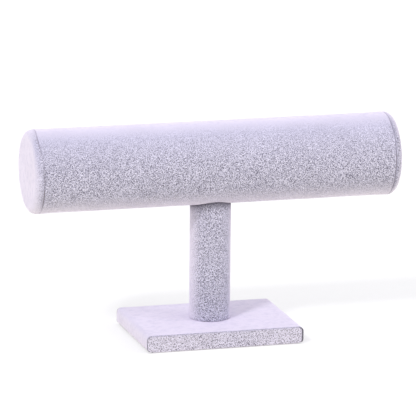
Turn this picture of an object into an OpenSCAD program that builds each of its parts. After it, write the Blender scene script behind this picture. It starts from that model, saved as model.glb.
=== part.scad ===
// Bracelet display stand: a round bar on a post and a flat base, all covered in velvet.
// The origin is at the middle of the underside. X runs along the bar, Z is up, and the front is -Y.

/* [Bar] */
// Length of the bar over its end caps
bar_length = 240; // [160:1:320]
// Diameter of the covered bar
bar_d = 53; // [44:0.5:66]
// Height of the bar's axis above the table
bar_axis_h = 112.5; // [90:0.5:180]
// Wall of the paperboard tube in the bar
tube_wall = 3; // [2:0.25:5]

/* [End caps] */
// Depth of a cap's rim, from the seam to the end face
cap_depth = 5.4; // [4.5:0.1:9]
// Radius where a cap's rim turns into its end face
cap_round = 4.5; // [1.5:0.1:5]
// Length of the spigot that plugs the tube
spigot_length = 8; // [4:0.5:20]
// Radial clearance of the spigot in the tube
spigot_clear = 0.15; // [0.05:0.05:0.3]

/* [Post] */
// Diameter of the covered post
post_d = 26.2; // [18:0.2:36]

/* [Base] */
// Width of the covered base, left to right
base_w = 103; // [80:1:160]
// Depth of the covered base, front to back
base_d = 77; // [56:1:120]
// Thickness of the base board
board_t = 9; // [6:0.5:18]
// Rounding of the base's left and right edges
base_round = 3; // [2:0.1:3.8]
// Thickness of the sheet glued under the base
underlay_t = 0.4; // [0.3:0.1:2]
// Distance that the sheet stays in from the base's edges
underlay_inset = 3.5; // [2:0.5:8]
// Radius of the sheet's corners
underlay_round = 3; // [1:0.5:8]

/* [Velvet] */
// Thickness of the velvet with its pile
velvet_t = 0.8; // [0.5:0.1:1.2]
// Width of the joint where two edges of velvet meet
seam_gap = 0.3; // [0.1:0.05:0.6]
// Rounding of the velvet's edges along the joints
seam_round = 0.6; // [0.2:0.1:1]
// Width of the hems that are folded under the board
hem_width = 12; // [6:0.5:20]
// Film of glue between a cover and its core
glue_t = 0.05; // [0.02:0.01:0.1]
// Angle of the bar cover's lengthwise joint, from straight down towards the back
bar_joint_angle = 50; // [20:5:120]

/* [Screws] */
// Diameter of the wood screws
screw_d = 4; // [3:0.5:5]
// Length of the screw from the bar down into the post
bar_screw_length = 25; // [18:1:32]
// Length of the screw from the board up into the post
base_screw_length = 35; // [25:1:45]
// Radial clearance of a screw in the pieces that it passes through
screw_clear = 0.25; // [0.1:0.05:0.5]
// Radial clearance of a screw in its pilot hole
thread_fit = 0.05; // [0.02:0.01:0.1]
// Depth of a pilot hole past the screw's tip
pilot_spare = 2; // [1:0.5:5]
// Diameter of the washer in the bar
washer_d = 12; // [10:0.5:16]
// Thickness of the washer
washer_t = 1; // [0.6:0.1:2]

/* [Hidden] */
$fn = 96;
// Overrun of a cut past the face that it opens
cut = 1;

velvet = "#dcd6ea";
greyboard = "#b9a68c";
fibreboard = "#c4a57e";
beech = "#d9b98a";
felt = "#cfcad8";
zinc = "#b8bcc2";

// A cover with its film of glue
skin = velvet_t + glue_t;
velvet_edge = min(seam_round, velvet_t);

bar_r = bar_d / 2;
tube_r = bar_r - skin;
tube_bore_r = tube_r - tube_wall;
seam_x = bar_length / 2 - cap_depth;
bar_cover_length = 2 * (seam_x - seam_gap);

disc_t = cap_depth - 2 * skin;
disc_round = min(cap_round - skin, disc_t);
face_round = min(cap_round, cap_depth - velvet_edge);
spigot_r = tube_bore_r - spigot_clear;
spigot_chamfer = 1;

wrap_z = underlay_t + glue_t;
board_z = wrap_z + skin;
wrap_h = board_t + 2 * skin;
base_top = wrap_z + wrap_h;
side_round = min(base_round, board_t / 2 + skin - 0.1);
board_w = base_w - 2 * skin;
board_d = base_d - 2 * skin;
strip_w = base_w - 2 * seam_gap;
strip_h = wrap_h - seam_gap;
strip_hem_w = base_w - 2 * hem_width - 2 * seam_gap;

dowel_r = post_d / 2 - skin;
saddle_r = bar_r + glue_t;

screw_r = screw_d / 2;
screw_hole_r = screw_r + screw_clear;
pilot_r = screw_r + thread_fit;
screw_head_r = screw_d;
pan_head_h = 0.6 * screw_d;
screw_tip_h = 1.2 * screw_d;
recess_w = 0.25 * screw_d;
recess_l = 1.1 * screw_d;
recess_h = 0.4 * screw_d;
// A flat washer in the round tube bears on the two sides of its rim
washer_z = bar_axis_h - sqrt(pow(tube_bore_r, 2) - pow(washer_d / 2, 2)) + glue_t;

// Rectangle with round corners, centred
module rounded_rect(w, h, r) {
    square([w - 2 * r, h], center = true);
    square([w, h - 2 * r], center = true);
    for (x = [-1, 1], y = [-1, 1])
        translate([x * (w / 2 - r), y * (h / 2 - r)]) circle(r);
}

// Turns a shape that stands on Z so that it lies along X, at the bar's axis
module on_bar_axis() {
    translate([0, 0, bar_axis_h]) rotate([0, 90, 0]) children();
}

// Places an end piece at the seam, with its own Z pointing out of the bar
module at_end(side) {
    translate([side * seam_x, 0, bar_axis_h]) rotate([0, side * 90, 0]) children();
}

// Hole down through the bottom of the bar's wall, for the bar's screw
module bar_screw_hole() {
    translate([0, 0, bar_axis_h - bar_r - cut]) cylinder(h = bar_r + cut, r = screw_hole_r);
}

// The bar's outside, which the top of the post is cut to
module saddle_cut() {
    on_bar_axis() cylinder(h = post_d + 2 * cut, r = saddle_r, center = true);
}

// Slot in a cover where the two long edges of its velvet meet
module joint_slot(inner_r, length) {
    translate([inner_r - cut, -seam_gap / 2, -length / 2 - cut])
        cube([velvet_t + 2 * cut, seam_gap, length + 2 * cut]);
}

// Paperboard tube, cut square, with the hole for the bar's screw
module bar_tube() {
    color(greyboard) difference() {
        on_bar_axis() difference() {
            cylinder(h = 2 * (seam_x - glue_t), r = tube_r, center = true);
            cylinder(h = 2 * seam_x + cut, r = tube_bore_r, center = true);
        }
        bar_screw_hole();
    }
}

// Velvet round the tube, with soft edges at the seams and a lengthwise joint at the back
module bar_cover() {
    color(velvet) difference() {
        on_bar_axis() difference() {
            rotate_extrude() intersection() {
                translate([bar_r - velvet_t, -bar_cover_length / 2]) square([velvet_t, bar_cover_length]);
                rounded_rect(2 * bar_r, bar_cover_length, velvet_edge);
            }
            rotate([0, 0, bar_joint_angle]) joint_slot(bar_r - velvet_t, bar_cover_length);
        }
        bar_screw_hole();
    }
}

// Disc that closes the tube, with a spigot that is glued into the bore
module end_plug() {
    color(fibreboard) rotate_extrude() {
        translate([0, skin]) intersection() {
            square([tube_r, disc_t]);
            rounded_rect(2 * tube_r, 2 * disc_t, disc_round);
        }
        polygon([
            [0, -spigot_length], [spigot_r - spigot_chamfer, -spigot_length],
            [spigot_r, spigot_chamfer - spigot_length], [spigot_r, skin], [0, skin]
        ]);
    }
}

// Velvet over the disc: the face, the rim and the hem that is pinched against the tube's end
module end_cover() {
    color(velvet) rotate_extrude() difference() {
        intersection() {
            square([bar_r, cap_depth]);
            rounded_rect(2 * bar_r, 2 * cap_depth, face_round);
            translate([0, cap_depth]) rounded_rect(2 * bar_r, 2 * cap_depth, velvet_edge);
        }
        translate([0, velvet_t]) intersection() {
            square([bar_r - velvet_t, cap_depth - 2 * velvet_t]);
            rounded_rect(2 * (bar_r - velvet_t), 2 * (cap_depth - 2 * velvet_t), disc_round + glue_t);
        }
        square([tube_bore_r, cap_depth / 2]);
    }
}

module end_plug_left() { at_end(-1) end_plug(); }
module end_plug_right() { at_end(1) end_plug(); }
module end_cover_left() { at_end(-1) end_cover(); }
module end_cover_right() { at_end(1) end_cover(); }

// Flat washer under the head of the bar's screw
module bar_washer() {
    color(zinc) translate([0, 0, washer_z]) difference() {
        cylinder(h = washer_t, r = washer_d / 2);
        translate([0, 0, -cut]) cylinder(h = washer_t + 2 * cut, r = screw_hole_r);
    }
}

// Shank with a pointed end, hanging down from the underside of the head
module screw_shank(length) {
    translate([0, 0, screw_tip_h - length]) cylinder(h = length - screw_tip_h, r = screw_r);
    translate([0, 0, -length]) cylinder(h = screw_tip_h, r1 = screw_r / 8, r2 = screw_r);
}

// Cross recess, cut down from the top of a head
module cross_recess() {
    for (turn = [0, 90]) rotate([0, 0, turn])
        translate([-recess_l / 2, -recess_w / 2, -recess_h]) cube([recess_l, recess_w, recess_h + cut]);
}

// Pan-head screw that pulls the bar down onto the post
module bar_screw() {
    color(zinc) translate([0, 0, washer_z + washer_t]) difference() {
        union() {
            screw_shank(bar_screw_length);
            rotate_extrude() intersection() {
                square([screw_head_r, pan_head_h]);
                rounded_rect(2 * screw_head_r, 2 * pan_head_h, pan_head_h / 2);
            }
        }
        translate([0, 0, pan_head_h]) cross_recess();
    }
}

// Countersunk screw that holds the base to the post, driven from below
module base_screw() {
    color(zinc) translate([0, 0, board_z]) rotate([180, 0, 0]) difference() {
        union() {
            screw_shank(base_screw_length);
            translate([0, 0, -screw_r]) cylinder(h = screw_r, r1 = screw_r, r2 = screw_head_r);
        }
        cross_recess();
    }
}

// Round dowel with a saddle cut to the bar and a pilot hole at each end
module post_dowel() {
    color(beech) difference() {
        translate([0, 0, base_top]) cylinder(h = bar_axis_h - base_top, r = dowel_r);
        saddle_cut();
        translate([0, 0, base_top - cut])
            cylinder(h = board_z + base_screw_length + pilot_spare - base_top + cut, r = pilot_r);
        translate([0, 0, washer_z + washer_t - bar_screw_length - pilot_spare])
            cylinder(h = bar_screw_length + pilot_spare, r = pilot_r);
    }
}

// Velvet round the post, with its joint at the back and its top edge along the saddle
module post_cover() {
    post_h = bar_axis_h - base_top;
    color(velvet) difference() {
        translate([0, 0, base_top]) difference() {
            cylinder(h = post_h, r = post_d / 2);
            translate([0, 0, -cut]) cylinder(h = post_h + 2 * cut, r = post_d / 2 - velvet_t);
            rotate([0, 0, 90]) joint_slot(post_d / 2 - velvet_t, 2 * post_h);
        }
        saddle_cut();
    }
}

// Moves a flat shape drawn in X and Z to the height of the covered board, and gives it a depth
module across_base(depth) {
    translate([0, 0, wrap_z + wrap_h / 2]) rotate([90, 0, 0])
        linear_extrude(height = depth, center = true) children();
}

// Board with rounded sides and a countersunk hole for the base's screw
module base_board() {
    color(fibreboard) difference() {
        across_base(board_d) rounded_rect(board_w, board_t, side_round - skin);
        translate([0, 0, board_z - cut]) cylinder(h = board_t + 2 * cut, r = screw_hole_r);
        translate([0, 0, board_z - thread_fit])
            cylinder(h = screw_r, r1 = screw_head_r + thread_fit, r2 = screw_r + thread_fit);
    }
}

// Velvet over the top and both sides of the board, folded under it in two hems
module base_wrap() {
    color(velvet) difference() {
        across_base(board_d) difference() {
            rounded_rect(base_w, wrap_h, side_round);
            rounded_rect(base_w - 2 * velvet_t, wrap_h - 2 * velvet_t, side_round - velvet_t);
            translate([0, -wrap_h / 2]) square([base_w - 2 * hem_width, 3 * velvet_t], center = true);
        }
        translate([0, 0, base_top - velvet_t - cut]) cylinder(h = velvet_t + 2 * cut, r = screw_hole_r);
    }
}

// Velvet strip over an end of the wrap, with soft edges and a hem under the board
module base_strip() {
    corner_r = side_round - seam_gap;
    color(velvet) {
        hull() for (x = [-1, 1], z = [corner_r, strip_h - corner_r])
            translate([x * (strip_w / 2 - corner_r), velvet_t - base_d / 2, wrap_z + z])
                rotate([90, 0, 0]) rotate_extrude($fn = 32) intersection() {
                    square([corner_r, velvet_t]);
                    rounded_rect(2 * corner_r, 2 * velvet_t, velvet_edge);
                }
        translate([-strip_hem_w / 2, velvet_edge - base_d / 2, wrap_z])
            cube([strip_hem_w, hem_width - velvet_edge, velvet_t]);
    }
}

module base_front_strip() { base_strip(); }
module base_back_strip() { mirror([0, 1, 0]) base_strip(); }

// Thin sheet that hides the hems and the screw, and stands on the table
module base_underlay() {
    color(felt) linear_extrude(height = underlay_t)
        rounded_rect(base_w - 2 * underlay_inset, base_d - 2 * underlay_inset, underlay_round);
}

bar_tube();
bar_cover();
end_plug_left();
end_plug_right();
end_cover_left();
end_cover_right();
bar_washer();
bar_screw();
post_dowel();
post_cover();
base_board();
base_wrap();
base_front_strip();
base_back_strip();
base_underlay();
base_screw();
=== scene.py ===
"""Looks of the bracelet display stand: velvet over a paperboard bar, a beech post and a fibreboard base.

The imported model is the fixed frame. Every velvet cover, and the felt under the base, is built here as a sheet
of cloth in the place of its CAD node. The pieces inside keep their CAD meshes and get their own finishes.
Lengths with the ending _mm are in millimetres, and all others are in metres.
"""
import logging
import math
from collections.abc import Callable, Sequence
from dataclasses import dataclass
from enum import Enum
from typing import ClassVar

import bmesh
import bpy
import numpy as np
from mathutils import Matrix, Vector, noise


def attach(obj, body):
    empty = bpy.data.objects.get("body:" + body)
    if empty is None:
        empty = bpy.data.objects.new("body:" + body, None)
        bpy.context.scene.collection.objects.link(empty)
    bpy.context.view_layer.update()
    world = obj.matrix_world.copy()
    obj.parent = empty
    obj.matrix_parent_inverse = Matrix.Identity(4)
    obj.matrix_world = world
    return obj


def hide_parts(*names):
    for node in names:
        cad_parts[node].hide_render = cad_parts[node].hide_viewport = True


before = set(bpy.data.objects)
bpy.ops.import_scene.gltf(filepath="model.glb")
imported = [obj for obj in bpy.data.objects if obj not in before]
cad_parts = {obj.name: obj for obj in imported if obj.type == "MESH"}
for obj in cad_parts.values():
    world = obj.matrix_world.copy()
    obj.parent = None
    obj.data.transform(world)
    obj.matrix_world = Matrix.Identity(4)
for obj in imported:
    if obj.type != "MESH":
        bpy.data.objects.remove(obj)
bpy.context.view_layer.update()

MM = 0.001
ROOT_BODY = "root"
# Mesh attributes: the share of painted shade in the dark ground colour, the pile's lean, the share of painted
# sheen that is the same from every side, and the turn of the painted sheen
SHADE_ATTRIBUTE = "ground_and_painted_shade"
LEAN_ATTRIBUTE = "pile_lean"
SHEEN_ATTRIBUTE = "painted_pile_sheen"
SHEEN_LEAN_ATTRIBUTE = "sheen_lean"
# Nearly all values of a noise lie between these
NOISE_LOW = 0.3
NOISE_HIGH = 0.7
# Points closer than this are one, and so are rows that are the same to so many digits of a metre
SAME_PLACE = 0.001 * MM
SAME_PLACE_DIGITS = 7
# Sockets of a Mix node for colours. It has the same names again for other kinds of values
SHARE = 0
FIRST = 6
SECOND = 7
RESULT = 2
WHITE = (1.0, 1.0, 1.0, 1.0)
# Sizes of the CAD model that more than one part of the stand shares
BAR_RADIUS = 26.5 * MM
BAR_AXIS_HEIGHT = 112.5 * MM
BASE_TOP = 11.15 * MM
SCREW_HOLE_R = 2.25 * MM
CLOTH_GAP = 0.3 * MM

NodeTree = bpy.types.NodeTree
Socket = bpy.types.NodeSocket
Triple = tuple[float, float, float]

log = logging.getLogger("bracelet_stand")


class Slot(Enum):
    """The record's material slots."""

    VELVET = "velvet"
    FELT = "felt"
    PAPERBOARD = "paperboard"
    FIBREBOARD = "fibreboard"
    BEECH = "beech"
    ZINC_STEEL = "zinc_steel"


class Hold(Enum):
    """How a sheet of cloth is held in place."""

    STRETCHED = "stretched"
    LAID = "laid"


def linear(hex_colour: str) -> tuple[float, float, float, float]:
    """Turns an sRGB hex colour into the linear colour that a socket takes.

    Args:
        hex_colour: The colour as "#rrggbb".

    Returns:
        Linear red, green and blue, and an alpha of 1.
    """
    values = [int(hex_colour[i:i + 2], 16) / 255 for i in (1, 3, 5)]
    red, green, blue = (v / 12.92 if v <= 0.04045 else ((v + 0.055) / 1.055) ** 2.4 for v in values)
    return red, green, blue, 1.0


def add_node(
    tree: NodeTree, kind: str, inputs: dict | None = None, output: int | str = 0, **settings: object
) -> Socket | None:
    """Adds a node with its settings and links.

    Args:
        tree: The node tree that the node goes into.
        kind: The node's type name in Blender.
        inputs: Socket name or number to a value, or to the output that is linked into it.
        output: Name or number of the output that is wanted.
        **settings: Attributes of the node itself.

    Returns:
        The wanted output, or None if the node has no outputs.
    """
    node = tree.nodes.new(kind)
    for name, value in settings.items():
        setattr(node, name, value)
    for key, value in (inputs or {}).items():
        if isinstance(value, Socket):
            tree.links.new(value, node.inputs[key])
        else:
            node.inputs[key].default_value = value
    return node.outputs[output] if len(node.outputs) else None


def place_in_pattern(tree: NodeTree, size_mm: Triple, turn_deg: Triple = (0.0, 0.0, 0.0)) -> Socket:
    """Gives the place on the object, measured in units of a pattern's real size.

    Args:
        tree: The material's node tree.
        size_mm: Size of the pattern's features along each of its axes.
        turn_deg: How far the pattern's axes are turned from the object's.

    Returns:
        The vector to link into a texture.
    """
    inputs = {
        "Vector": add_node(tree, "ShaderNodeTexCoord", output="Object"),
        "Rotation": [math.radians(turn) for turn in turn_deg],
        "Scale": [size * MM for size in size_mm],
    }
    return add_node(tree, "ShaderNodeMapping", inputs, vector_type="TEXTURE")


@dataclass(frozen=True)
class Grain:
    """A noise whose features have a real size, with a number of finer layers on top of them."""

    size_mm: Triple
    turn_deg: Triple = (0.0, 0.0, 0.0)
    layers: float = 2.0
    roughness: float = 0.5
    distortion: float = 0.0

    def add(self, tree: NodeTree) -> Socket:
        """Adds the noise to a material.

        Args:
            tree: The material's node tree.

        Returns:
            The noise's value.
        """
        return add_node(tree, "ShaderNodeTexNoise", {
            "Vector": place_in_pattern(tree, self.size_mm, self.turn_deg),
            "Scale": 1.0,
            "Detail": self.layers,
            "Roughness": self.roughness,
            "Distortion": self.distortion,
        })


class Finish:
    """A finish, whose material is made from its shader."""

    name: ClassVar[str]

    def shader(self, tree: NodeTree) -> Socket:
        """Builds the finish's shader and gives its output. Each finish has its own."""
        raise NotImplementedError

    def material(self) -> bpy.types.Material:
        """Builds the finish's material.

        Returns:
            The new material.
        """
        material = bpy.data.materials.new(self.name)
        material.use_nodes = True
        material.node_tree.nodes.clear()
        shader = self.shader(material.node_tree)
        add_node(material.node_tree, "ShaderNodeOutputMaterial", {"Surface": shader})
        return material


@dataclass(frozen=True)
class ShortPileVelvet(Finish):
    """Short-pile velvet, woven, sheared and brushed, glued tightly over a board.

    Its pile leans a little to one side. Seen along the pile, the cloth is darker, with painted shade in the
    gaps between its clumps as dark specks and painted light on their tops. Seen across it, a painted sheen in
    the pale colour of the fibres' sides covers that, and the cloth is even. Seams, cut edges and the top of the
    post get painted shade in the dark colour of the ground weave.
    """

    name: ClassVar[str] = "short_pile_velvet"
    # Painted sheen: the pale colour of the fibres' sides, which the pile takes on as it is seen from its side
    pile_sheen: str = "#f1e9fa"
    sheen_patch: str = "#dcd5e8"
    # Painted light on the tops of the pile's clumps, and painted shade in the gaps between them
    clump_top_light: str = "#ebe7fa"
    clump_flank: str = "#bfbcd3"
    clump_gap_shade: str = "#6b6779"
    # Colour of the cloth's ground weave on its back. Mixed into the pile, it is the painted shade at seams, cut
    # edges and under the bar
    ground_and_shade_colour: str = "#5f5b69"
    # A pile clump is about 0.2 mm wide. It is drawn at 0.5 mm, about the smallest that shows at 0.64 mm a
    # pixel. It is longer the way that the cloth was brushed, and turned so that no face lies in one layer
    clumps: Grain = Grain((0.5, 0.5, 0.7), turn_deg=(25.0, -12.0, 20.0), layers=1.5, roughness=0.55)
    clump_depth_mm: float = 0.4
    # Levels of the clumps' noise between which the painted shade in the gaps closes, and between which the
    # painted light on their tops begins
    gap_full: float = 0.375
    gap_from: float = 0.48
    top_from: float = 0.48
    top_full: float = 0.6
    # The pile drifts from place to place and was brushed unevenly: how much lighter or darker that makes it
    drift: Grain = Grain((3.2, 3.2, 3.2))
    drift_share: float = 0.05
    brushing: Grain = Grain((22.0, 22.0, 22.0))
    brushing_share: float = 0.03
    # Levels of the drift between which the painted sheen of the pale sides gets its darker patches
    patch_from: float = 0.4
    patch_full: float = 0.7
    # How far the pile turns away from the eye before the painted sheen of its pale sides begins to show, and
    # until only it shows
    sheen_from: float = 0.28
    sheen_full: float = 0.84
    # How far it turns away before the painted shade in its gaps begins to close, and until it is closed
    closed_from: float = 0.06
    closed_full: float = 0.96
    roughness: float = 0.95
    ior: float = 1.46
    specular_level: float = 0.15
    sheen_weight: float = 0.25
    sheen_roughness: float = 0.5
    sheen_tint: str = "#f6f1ff"

    @staticmethod
    def turned_away(tree: NodeTree, attribute: str) -> Socket:
        """Gives how far the pile is turned away from the eye, as it leans out of the surface's own direction.

        Args:
            tree: The material's node tree.
            attribute: Name of the mesh attribute that keeps the lean.

        Returns:
            The share, from 0 where the pile points at the eye to 1 where it is seen from its side.
        """
        lean = add_node(tree, "ShaderNodeAttribute", output="Vector", attribute_name=attribute)
        spaces = {"convert_from": "OBJECT", "convert_to": "WORLD"}
        lean = add_node(tree, "ShaderNodeVectorTransform", {"Vector": lean}, **spaces)
        surface = add_node(tree, "ShaderNodeNewGeometry", output="Normal")
        leaning = add_node(tree, "ShaderNodeVectorMath", {0: surface, 1: lean}, operation="ADD")
        pile = add_node(tree, "ShaderNodeVectorMath", {0: leaning}, operation="NORMALIZE")
        return add_node(tree, "ShaderNodeLayerWeight", {"Normal": pile}, "Facing")

    def speckled(self, tree: NodeTree, clumps: Socket, gap_share: Socket) -> Socket:
        """Gives the colour of the pile as it is seen along its fibres, with painted light and shade on its
        clumps.

        Args:
            tree: The material's node tree.
            clumps: The clumps' noise.
            gap_share: How far the painted light on the clumps' tops and the painted shade in the gaps between
                them show.

        Returns:
            The colour of the clumps' flanks, with the painted sheen that the mesh asks for, painted light on
            their tops and painted shade in the gaps.
        """
        # Share of painted sheen that the mesh asks for, the same from every side
        painted_sheen_share = add_node(tree, "ShaderNodeAttribute", output="Fac", attribute_name=SHEEN_ATTRIBUTE)
        tops = add_node(tree, "ShaderNodeMapRange", {
            "Value": clumps,
            "From Min": self.top_from,
            "From Max": self.top_full,
            "To Max": gap_share,
        })
        gaps = add_node(tree, "ShaderNodeMapRange", {
            "Value": clumps,
            "From Min": self.gap_full,
            "From Max": self.gap_from,
            "To Min": gap_share,
            "To Max": 0.0,
        })
        colour = linear(self.clump_flank)
        # Painted sheen that the mesh asks for, painted light on the clumps' tops and painted shade in their
        # gaps
        for share, over in ((painted_sheen_share, self.pile_sheen), (tops, self.clump_top_light), (gaps, self.clump_gap_shade)):
            layers = {SHARE: share, FIRST: colour, SECOND: linear(over)}
            colour = add_node(tree, "ShaderNodeMix", layers, RESULT, data_type="RGBA")
        return colour

    def pale(self, tree: NodeTree, drift: Socket) -> Socket:
        """Gives the painted sheen: the colour of the pile as it is seen across its fibres.

        Args:
            tree: The material's node tree.
            drift: The noise by which the pile drifts from place to place.

        Returns:
            The pale colour of the fibres' sides, painted in as sheen, with its darker patches.
        """
        limits = {"Value": drift, "From Min": self.patch_from, "From Max": self.patch_full}
        patches = add_node(tree, "ShaderNodeMapRange", limits)
        sides = {SHARE: patches, FIRST: linear(self.pile_sheen), SECOND: linear(self.sheen_patch)}
        return add_node(tree, "ShaderNodeMix", sides, RESULT, data_type="RGBA")

    def uneven(self, tree: NodeTree, pile: Socket, drift: Socket) -> Socket:
        """Makes the pile lighter and darker from place to place, as it drifts and was brushed.

        Args:
            tree: The material's node tree.
            pile: The pile's colour.
            drift: The noise by which the pile drifts from place to place.

        Returns:
            The uneven colour.
        """
        for unevenness, share in ((drift, self.drift_share), (self.brushing.add(tree), self.brushing_share)):
            level = add_node(tree, "ShaderNodeMapRange", {
                "Value": unevenness,
                "From Min": NOISE_LOW,
                "From Max": NOISE_HIGH,
                "To Min": 1 - share,
                "To Max": 1 + share,
            })
            pile = add_node(tree, "ShaderNodeVectorMath", {0: pile, "Scale": level}, operation="SCALE")
        return pile

    def shader(self, tree: NodeTree) -> Socket:
        """Builds the velvet's shader.

        Args:
            tree: The material's node tree.

        Returns:
            The shader's output.
        """
        clumps = self.clumps.add(tree)
        drift = self.drift.add(tree)
        gap_share = add_node(tree, "ShaderNodeMapRange", {
            "Value": self.turned_away(tree, LEAN_ATTRIBUTE),
            "From Min": self.closed_from,
            "From Max": self.closed_full,
            "To Min": 1.0,
            "To Max": 0.0,
        })
        sheen_share = add_node(tree, "ShaderNodeMapRange", {
            "Value": self.turned_away(tree, SHEEN_LEAN_ATTRIBUTE),
            "From Min": self.sheen_from,
            "From Max": self.sheen_full,
        })
        # Painted sheen: the pale colour takes over as the pile is seen from its side
        looks = {
            SHARE: sheen_share,
            FIRST: self.speckled(tree, clumps, gap_share),
            SECOND: self.pale(tree, drift),
        }
        pile = add_node(tree, "ShaderNodeMix", looks, RESULT, data_type="RGBA")
        pile = self.uneven(tree, pile, drift)
        # Painted shade at seams, cut edges and under the bar, in the dark ground colour. On the hidden back it
        # is the ground's own colour
        bare = add_node(tree, "ShaderNodeAttribute", output="Fac", attribute_name=SHADE_ATTRIBUTE)
        cloth = {SHARE: bare, FIRST: pile, SECOND: linear(self.ground_and_shade_colour)}
        relief = {"Value": clumps, "From Min": NOISE_LOW, "From Max": NOISE_HIGH}
        bump = add_node(tree, "ShaderNodeBump", {
            "Strength": gap_share,
            "Distance": self.clump_depth_mm * MM,
            "Height": add_node(tree, "ShaderNodeMapRange", relief),
        })
        return add_node(tree, "ShaderNodeBsdfPrincipled", {
            "Base Color": add_node(tree, "ShaderNodeMix", cloth, RESULT, data_type="RGBA"),
            "Roughness": self.roughness,
            "IOR": self.ior,
            "Specular IOR Level": self.specular_level,
            "Sheen Weight": self.sheen_weight,
            "Sheen Roughness": self.sheen_roughness,
            "Sheen Tint": linear(self.sheen_tint),
            "Normal": bump,
        })


@dataclass(frozen=True)
class PressedFelt(Finish):
    """Thin felt, pressed from loose fibres, so that it is matt and softly mottled with no weave."""

    name: ClassVar[str] = "pressed_felt"
    fibre: str = "#cbc6d6"
    gap: str = "#a59fb2"
    mottle: Grain = Grain((1.4, 1.4, 1.4), layers=5.0, distortion=0.8)
    mottle_from: float = 0.35
    mottle_full: float = 0.65
    fibre_depth_mm: float = 0.08
    roughness: float = 1.0
    sheen_weight: float = 0.3
    sheen_roughness: float = 0.6

    def shader(self, tree: NodeTree) -> Socket:
        """Builds the felt's shader.

        Args:
            tree: The material's node tree.

        Returns:
            The shader's output.
        """
        mottle = self.mottle.add(tree)
        limits = {"Value": mottle, "From Min": self.mottle_from, "From Max": self.mottle_full}
        share = add_node(tree, "ShaderNodeMapRange", limits)
        colours = {SHARE: share, FIRST: linear(self.gap), SECOND: linear(self.fibre)}
        relief = {"Distance": self.fibre_depth_mm * MM, "Height": mottle}
        return add_node(tree, "ShaderNodeBsdfPrincipled", {
            "Base Color": add_node(tree, "ShaderNodeMix", colours, RESULT, data_type="RGBA"),
            "Roughness": self.roughness,
            "Sheen Weight": self.sheen_weight,
            "Sheen Roughness": self.sheen_roughness,
            "Normal": add_node(tree, "ShaderNodeBump", relief),
        })


@dataclass(frozen=True)
class FleckedWood(Finish):
    """Raw wood, or a board made of its fibres, with darker flecks over its own colour."""

    ground: str
    fleck: str
    flecks: Grain
    # Levels of the flecks' noise between which they begin, and how dense they get
    fleck_from: float
    fleck_full: float
    fleck_peak: float
    relief: Grain
    depth_mm: float
    roughness: float

    def ground_colour(self, tree: NodeTree) -> Socket | tuple[float, float, float, float]:
        """Gives the colour under the flecks, from the node tree if it varies."""
        return linear(self.ground)

    def shader(self, tree: NodeTree) -> Socket:
        """Builds the shader of the flecks over their ground.

        Args:
            tree: The material's node tree.

        Returns:
            The shader's output.
        """
        flecks = self.flecks.add(tree)
        share = add_node(tree, "ShaderNodeMapRange", {
            "Value": flecks,
            "From Min": self.fleck_from,
            "From Max": self.fleck_full,
            "To Max": self.fleck_peak,
        })
        colours = {SHARE: share, FIRST: self.ground_colour(tree), SECOND: linear(self.fleck)}
        relief = {"Distance": self.depth_mm * MM, "Height": self.relief.add(tree)}
        return add_node(tree, "ShaderNodeBsdfPrincipled", {
            "Base Color": add_node(tree, "ShaderNodeMix", colours, RESULT, data_type="RGBA"),
            "Roughness": self.roughness,
            "Normal": add_node(tree, "ShaderNodeBump", relief),
        })


@dataclass(frozen=True)
class SpiralPaperboard(FleckedWood):
    """Paperboard wound in a spiral from strips of grey-brown pulp, which shows their edges and its flecks."""

    name: ClassVar[str] = "spiral_paperboard"
    ground: str = "#b9a68c"
    fleck: str = "#8d7a62"
    flecks: Grain = Grain((0.8, 0.8, 0.8), layers=4.0)
    fleck_from: float = 0.4
    fleck_full: float = 0.7
    fleck_peak: float = 0.7
    relief: Grain = Grain((0.8, 0.8, 0.8), layers=4.0)
    depth_mm: float = 0.05
    roughness: float = 0.85
    strip_mm: float = 60.0
    # How many strips' widths a strip's edge runs across the tube while it moves by one along it
    winding: float = 3.0
    waver: float = 0.4
    # Share of a strip's width after which its edge begins, and how dark that gets
    edge_from: float = 0.97
    edge_peak: float = 0.5
    # A diagonal wave turns by 10 radians in one unit of its pattern, and a strip is one full turn
    wave_scale: float = 2 * math.pi / 10

    def ground_colour(self, tree: NodeTree) -> Socket:
        """Gives the pulp's colour, with the darker edges of the strips.

        Args:
            tree: The material's node tree.

        Returns:
            The colour's output.
        """
        round_mm = self.winding * self.strip_mm
        place = place_in_pattern(tree, (self.strip_mm, round_mm, round_mm))
        wave = {"Vector": place, "Scale": self.wave_scale, "Distortion": self.waver}
        strips = add_node(tree, "ShaderNodeTexWave", wave, 1, bands_direction="DIAGONAL", wave_profile="SAW")
        limits = {"Value": strips, "From Min": self.edge_from, "To Max": self.edge_peak}
        edge = add_node(tree, "ShaderNodeMapRange", limits)
        colours = {SHARE: edge, FIRST: linear(self.ground), SECOND: linear(self.fleck)}
        return add_node(tree, "ShaderNodeMix", colours, RESULT, data_type="RGBA")


@dataclass(frozen=True)
class SawnFibreboard(FleckedWood):
    """Medium-density fibreboard, pressed and then sawn, which leaves fine flecks and a slight fuzz."""

    name: ClassVar[str] = "sawn_fibreboard"
    ground: str = "#c4a57e"
    fleck: str = "#99784f"
    flecks: Grain = Grain((1.1, 1.1, 0.44), layers=5.0)
    fleck_from: float = 0.42
    fleck_full: float = 0.7
    fleck_peak: float = 0.8
    relief: Grain = Grain((0.3, 0.3, 0.3))
    depth_mm: float = 0.04
    roughness: float = 0.8


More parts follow.
